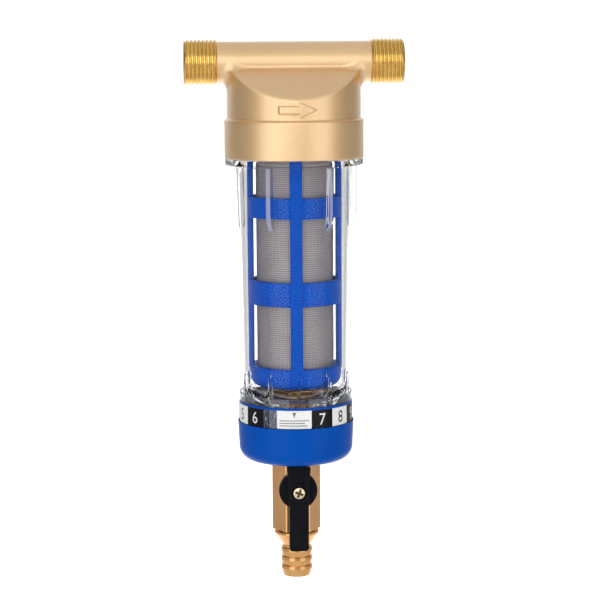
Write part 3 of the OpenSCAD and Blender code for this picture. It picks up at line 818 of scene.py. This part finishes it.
def glyph(text, size, mat, name, u0, z0, r0, r1, squeeze=1.0):
    """A figure from the built-in font, cut into strips, bent round the ring and given a little thickness."""
    cu = bpy.data.curves.new("figure", "FONT")
    cu.body = text
    cu.size = size
    cu.align_x, cu.align_y = "CENTER", "CENTER"
    cu.resolution_u = 6
    tmp = bpy.data.objects.new("figure", cu)
    SC.collection.objects.link(tmp)
    dg = bpy.context.evaluated_depsgraph_get()
    me = bpy.data.meshes.new_from_object(tmp.evaluated_get(dg))
    bpy.data.objects.remove(tmp)
    bpy.data.curves.remove(cu)
    b = bmesh.new()
    b.from_mesh(me)
    bpy.data.meshes.remove(me)
    bmesh.ops.remove_doubles(b, verts=b.verts, dist=1e-5)
    xs = [v.co.x for v in b.verts]
    ys = [v.co.y for v in b.verts]
    cx, cy = (min(xs) + max(xs)) / 2, (min(ys) + max(ys)) / 2
    for v in b.verts:
        v.co.x, v.co.y = (v.co.x - cx) * squeeze, v.co.y - cy
    half = (max(xs) - min(xs)) / 2 * squeeze
    for x in np.arange(-half + 0.5, half, 0.5):
        bmesh.ops.bisect_plane(b, geom=b.verts[:] + b.edges[:] + b.faces[:], plane_co=(x, 0, 0), plane_no=(1, 0, 0))
    top = b.faces[:]
    ext = bmesh.ops.extrude_face_region(b, geom=top)
    for v in [g for g in ext["geom"] if isinstance(g, bmesh.types.BMVert)]:
        v.co.z += 1.0
    for v in b.verts:
        r = r0 + (r1 - r0) * v.co.z
        v.co = Vector(bend(u0 + math.degrees(v.co.x / r1), r, z0 + v.co.y))
    return b


def merge(bms):
    out = bmesh.new()
    for b in bms:
        me = bpy.data.meshes.new("t")
        b.to_mesh(me)
        b.free()
        out.from_mesh(me)
        bpy.data.meshes.remove(me)
    return out


black = merge([glyph(str(k), 7.9, None, "", START[k] + SECT / 2, -164.9, RING_R + 0.14, RING_R + 0.17,
                     0.92 if k < 10 else 0.78) for k in START if k not in DARK])
white = merge([glyph(str(k), 7.9, None, "", START[k] + SECT / 2, -164.9, RING_R + 0.18, RING_R + 0.21,
                     0.92 if k < 10 else 0.78) for k in START if k in DARK])
piece(from_bm("month_figures_black", black, M["ink_black"], 30), "month_ring", "label_black")
piece(from_bm("month_figures_white", white, M["ink_white"], 30), "month_ring", "label_white")
# plain marks on the blank panel: a pointer and three bars that stand for small print
bm = bmesh.new()
R0, R1 = RING_R + 0.145, RING_R + 0.175
tri_pts = [(-7.6, -161.3), (-3.6, -161.3), (-5.6, -163.9)]
lo = [bm.verts.new(bend(u, R0, z)) for u, z in tri_pts]
hi = [bm.verts.new(bend(u, R1, z)) for u, z in tri_pts]
bm.faces.new(hi)
bm.faces.new(lo[::-1])
for k in range(3):
    bm.faces.new((lo[k], lo[(k + 1) % 3], hi[(k + 1) % 3], hi[k]))
for a0, a1, z in ((-20.5, 9.3, -165.2), (-20.5, 5.0, -166.4), (-20.5, 7.5, -167.6)):
    strip(bm, a0, a1, R0, R1, z - 0.22, z + 0.22)
piece(from_bm("label_marks_ink", bm, M["ink_grey"]), "month_ring", "label_black")

# --------------------------------------------------------------------------
# base cap
# --------------------------------------------------------------------------
cap = revolve("base_cap_moulding", rounded([
    (27.2, -169.25, 0.12), (27.6, -169.25, 0.15), (27.35, -175.0, 6.0), (26.75, -188.0, 8.8),
    (8.8, -188.0, 0.4), (8.8, -162.9, 0.3), (13.0, -162.9, 0.5), (13.0, -185.6, 1.0),
    (24.35, -185.6, 6.2), (24.4, -170.4, 0.2), (27.2, -170.4, 0.1)], 8), M["cap"], 192)
piece(cap, "bowl", "blue_gloss", "base_cap")

# --------------------------------------------------------------------------
# drain valve
# --------------------------------------------------------------------------
BZ = -201.4


def hex_d(x, y, af, turn=0.0):
    """Signed distance to a hexagon prism's sides, with a flat facing -Y at turn 0 and slightly rounded corners."""
    d = None
    for k in range(6):
        a = math.radians(-90 + 60 * k + turn)
        e = x * math.cos(a) + y * math.sin(a) - af / 2
        d = e if d is None else rmax(d, e, 0.45)
    return d


def body_f(x, y, z):
    rho = np.hypot(x, y)
    hexa = hex_d(x, y, 20.2)
    hexa = rmax(hexa, np.maximum(z + 188.0, -222.6 - z), 0.25)
    # turned chamfer at the lower end
    hexa = rmax(hexa, (rho - 11.55 - (z + 222.6) * 0.7) * 0.82, 0.15)
    turn = np.arctan2(y, x) / (2 * PI)
    neck = rho - np.where((z > -165) & (z < -155.8), 7.7 + 0.63 * tri(z / 1.337 - turn), 7.9)
    neck = rmax(neck, np.maximum(z + 154.8, -190.0 - z), 0.3)
    boss = rmax(np.hypot(x, z - BZ) - 5.2, np.maximum(-12.6 - y, y), 0.3)
    s = np.minimum(rmin(hexa, boss, 0.4), neck)
    cut = np.minimum(rho - 5.0, np.maximum(rho - 7.95, z + 193.4))
    stem = np.hypot(x, z - BZ)
    cut = np.minimum(cut, np.maximum(np.maximum(stem - 3.15, y), -15.0 - y))
    cut = np.minimum(cut, np.maximum(np.maximum(stem - 4.3, y), -8.95 - y))
    return rmax(s, -cut, 0.15)


vb = sdf_mesh("valve_body_bar", body_f, (-12.2, -13.2, -223.2), (12.2, 10.9, -154.2), 0.40, M["turned"])
piece(vb, "bowl", "turned_brass", "valve_body")

tail = revolve("hose_tail_turned", rounded([
    (4.6, -245.4, 0.3), (6.5, -245.4, 0.45), (7.5, -241.7, 0.35), (7.5, -240.3, 0.12), (6.85, -240.3, 0.1),
    (7.5, -237.4, 0.35), (7.5, -236.0, 0.12), (6.85, -236.0, 0.1), (7.5, -233.0, 0.35), (7.5, -231.6, 0.12),
    (6.85, -231.6, 0.1), (7.0, -230.0, 0.5), (7.6, -229.1, 0.5), (10.7, -224.3, 0.3), (10.7, -223.2, 0.2),
    (7.9, -223.2, 0.05), (7.9, -221.9, 0.05), (6.85, -221.9, 0.05), (6.85, -220.3, 0.05), (7.9, -220.3, 0.05),
    (7.9, -209.4, 0.1), (4.6, -209.4, 0.1)], 4), M["turned"], 128)
piece(tail, "bowl", "turned_brass", "hose_tail")


def nut_f(x, y, z):
    rho = np.hypot(x, y)
    s = rmax(hex_d(x, y, 20.0, 12.0), np.maximum(z + 155.0, -158.0 - z), 0.2)
    s = rmax(s, (rho - 10.6 + (z + 155.0) * 1.5) * 0.55, 0.15)
    turn = np.arctan2(y, x) / (2 * PI)
    return rmax(s, -(rho - 8.4), 0.2)


nut = sdf_mesh("drain_nut_turned", nut_f, (-12.2, -12.2, -158.6), (12.2, 12.2, -154.4), 0.30, M["turned"])
piece(nut, "bowl", "turned_brass", "drain_nut")

# lever -------------------------------------------------------------------
LW = 4.6


def lever_outline():
    top = [(12.8 * math.cos(math.radians(115.9 - i * 6.475)), BZ + 12.8 * math.sin(math.radians(115.9 - i * 6.475)))
           for i in range(9)]
    return top + [(5.15, BZ + 5.9), (LW, BZ + 5.2), (LW, -229.8), (-LW, -229.8), (-LW, BZ + 5.2), (-5.15, BZ + 5.9)]


OUT = lever_outline()


def lever_f(x, y, z):
    d = poly_sdf(x, z, OUT)
    r = np.hypot(x, z - BZ)
    low = rmax(np.abs(x) - LW, -229.8 - z, 1.5)           # rounded lower corners
    d = np.where(z < -220, np.maximum(d, low), d)
    blade = rmax(d, np.abs(y + 15.475) - 2.525, 0.45)
    skirt = rmax(r - 9.1, np.abs(y + 12.0) - 1.5, 0.4)
    s = rmin(blade, skirt, 0.35)
    ring = rmax(r - 4.7, np.maximum(-19.1 - y, y + 16), 0.45)
    s = rmin(s, ring, 0.35)
    s = rmax(s, -np.maximum(r - 5.6, -12.9 - y), 0.15)
    s = rmax(s, -np.maximum(r - 3.3, y + 18.0), 0.25)
    drive = np.maximum(np.maximum(r - 3.2, np.abs(x) - 2.3), np.maximum(-16.7 - y, y + 10))
    s = np.maximum(s, -drive)
    s = np.maximum(s, -np.maximum(r - 1.7, y + 10))
    pocket = rmax(np.abs(x) - 3.2, np.abs(z + 219.9) - 8.1, 0.8)
    s = rmax(s, -np.maximum(pocket, -16.2 - y), 0.25)
    return s


lever = sdf_mesh("valve_lever_moulding", lever_f, (-10.0, -19.8, -230.6), (10.0, -10.0, -187.8), 0.25, M["lever"])
piece(lever, "valve_handle", "black_plastic", "valve_lever")


def screw_f(x, y, z):
    w = z - BZ
    r = np.hypot(x, w)
    x, w = x * 0.94 - w * 0.342, x * 0.342 + w * 0.94      # the cross stands 20 degrees round
    dome = np.sqrt(r * r + (y + 13.2) ** 2) - 6.85          # shallow domed top
    headc = rmax(rmax(r - 2.9, dome, 0.35), np.maximum(y + 18.0, -21 - y), 0.15)
    shank = np.maximum(r - 1.45, np.maximum(y + 12.6, -18.5 - y))
    s = np.minimum(headc, shank)
    depth = y + 18.7                                        # cross recess, narrowing inwards
    arm = 0.42 + np.clip(-depth, 0, 2) * 0.10
    length = 1.65 + np.clip(-depth, 0, 2) * 0.35
    a = rmax(np.abs(x) - arm, np.abs(w) - length, 0.08)
    b = rmax(np.abs(w) - arm, np.abs(x) - length, 0.08)
    cross = np.maximum(rmin(a, b, 0.25), depth)
    return rmax(s, -cross, 0.06)


def recess_mark(mat):
    """Paints shade into the screw's cross: the colour turns dark brown deeper into the head, where shadow falls."""
    tree = mat.node_tree
    bsdf = next(n for n in tree.nodes if n.type == "BSDF_PRINCIPLED")
    colour = bsdf.inputs["Base Color"].links[0].from_socket
    co = tree.nodes.new("ShaderNodeTexCoord")
    sep = tree.nodes.new("ShaderNodeSeparateXYZ")
    tree.links.new(co.outputs["Object"], sep.inputs[0])
    # painted shade, strength 0 to 0.85 going in along object Y from -19.65 to -19.35 mm
    painted_shade = tree.nodes.new("ShaderNodeMapRange")
    for k, v in zip(("From Min", "From Max", "To Min", "To Max"), (-0.01965, -0.01935, 0.0, 0.85)):
        painted_shade.inputs[k].default_value = v
    tree.links.new(sep.outputs[1], painted_shade.inputs["Value"])
    mix = tree.nodes.new("ShaderNodeMix")
    mix.data_type = "RGBA"
    tree.links.new(painted_shade.outputs[0], mix.inputs[0])
    tree.links.new(colour, mix.inputs[6])
    # dark brown of the painted shade
    mix.inputs[7].default_value = (0.09, 0.045, 0.02, 1.0)
    tree.links.new(mix.outputs[2], bsdf.inputs["Base Color"])


# painted shade in the screw's cross recess
recess_mark(M["screw"])
screw = sdf_mesh("lever_screw_plated", screw_f, (-3.2, -20.6, BZ - 3.2), (3.2, -12.3, BZ + 3.2), 0.11, M["screw"])
piece(screw, "valve_handle", "screw_plated", "lever_screw")

# --------------------------------------------------------------------------
# carried-over CAD nodes: shape kept, better surfaces
# --------------------------------------------------------------------------
for node, key in {
    "bowl_seal": "rubber", "cartridge_seal": "rubber", "nut_washer": "silicone", "floor_washer": "silicone",
    "tail_seal": "rubber", "stem_seals": "rubber", "magnet_sleeve": "steel", "magnet_end_plug": "steel",
    "magnet_stack": "nickel", "pole_washers": "pole", "drain_ball": "chrome", "upper_seat": "ptfe",
    "lower_seat": "ptfe", "stem_thrust_washer": "ptfe", "valve_stem": "turned",
}.items():
    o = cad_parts[node]
    if not o.material_slots:
        o.data.materials.append(M[key])
    for s in o.material_slots:
        s.material = M[key]

# --------------------------------------------------------------------------
# floor and light
# --------------------------------------------------------------------------


def stage_floor():
    m = Nodes("pale_floor")
    n = m.noise(3, 2, 0.5)
    tone = m.ramp(n, [(0.3, (0.90, 0.90, 0.90)), (0.7, (0.92, 0.92, 0.92))])
    m.put("Roughness", 0.9)
    # lit from below far behind the part, as a white sweep is
    sep = m.new("ShaderNodeSeparateXYZ")
    m.link(m.coord.outputs["Object"], sep.inputs[0])
    run = m.math("ADD", sep.outputs[1], 0.958)
    mid = m.math("SUBTRACT", m.math("ADD", sep.outputs[0], 0.067), m.math("MULTIPLY", run, 0.072))
    aside = m.math("SUBTRACT", m.math("ABSOLUTE", mid), m.math("MULTIPLY", run, 0.165))
    lit = m.math("MULTIPLY", m.maprange(aside, 0.02, 0.45, 1.0, 0.0), m.maprange(sep.outputs[1], -0.15, 0.40, 0.0, 1.0))
    m.link(lit, m.bsdf.inputs["Emission Strength"])
    m.link(tone, m.bsdf.inputs["Base Color"])
    m.put("Specular IOR Level", 0.1)
    m.bsdf.inputs["Emission Color"].default_value = (1, 1, 1, 1)
    me = bpy.data.meshes.new("floor")
    s, z = 6.0, -0.62
    me.from_pydata([(-s, -s, z), (s, -s, z), (s, s * 2, z), (-s, s * 2, z)], [], [(0, 1, 2, 3)])
    me.materials.append(m.mat)
    ob = bpy.data.objects.new("floor", me)
    SC.collection.objects.link(ob)


stage_floor()


def area(name, loc, target, size, power, color=(1, 1, 1)):
    l = bpy.data.lights.new(name, "AREA")
    l.shape = "RECTANGLE"
    l.size, l.size_y = size
    l.energy = power
    l.color = color
    o = bpy.data.objects.new(name, l)
    SC.collection.objects.link(o)
    o.location = loc
    d = Vector(target) - Vector(loc)
    o.rotation_euler = d.to_track_quat("-Z", "Y").to_euler()
    return o


area("box_left", (-0.655, -0.82, 0.15), (0, 0, 0.12), (0.80, 1.40), 4.5)
area("box_right", (0.70, -0.785, 0.15), (0, 0, 0.12), (0.75, 1.40), 3.45)
area("box_front", (-0.06, -1.10, 0.32), (0, 0, 0.24), (0.60, 0.78), 2.25)

world = bpy.data.worlds.new("studio")
world.use_nodes = True
wt = world.node_tree
bg = wt.nodes["Background"]
wc = wt.nodes.new("ShaderNodeTexCoord")
wx = wt.nodes.new("ShaderNodeSeparateXYZ")
wt.links.new(wc.outputs["Generated"], wx.inputs[0])


def wmap(socket, a, b, c, d):
    n = wt.nodes.new("ShaderNodeMapRange")
    n.interpolation_type = "SMOOTHSTEP"
    for k, v in zip(("From Min", "From Max", "To Min", "To Max"), (a, b, c, d)):
        n.inputs[k].default_value = v
    wt.links.new(socket, n.inputs["Value"])
    return n.outputs["Result"]


def wmax(a, b):
    n = wt.nodes.new("ShaderNodeMath")
    n.operation = "MAXIMUM"
    wt.links.new(a, n.inputs[0])
    wt.links.new(b, n.inputs[1])
    return n.outputs[0]


# white backdrop behind the part (+Y), pale ceiling, dim room in front and low down
low = wmap(wx.outputs["Y"], -0.96, -0.45, 0.34, 0.26)
top = wmap(wx.outputs["Z"], 0.40, 0.75, 0.0, 0.74)
back = wmap(wx.outputs["Y"], 0.50, 0.90, 0.0, 1.05)
wt.links.new(wmax(wmax(low, top), back), bg.inputs["Color"])
SC.world = world
SC.view_settings.view_transform = "Standard"
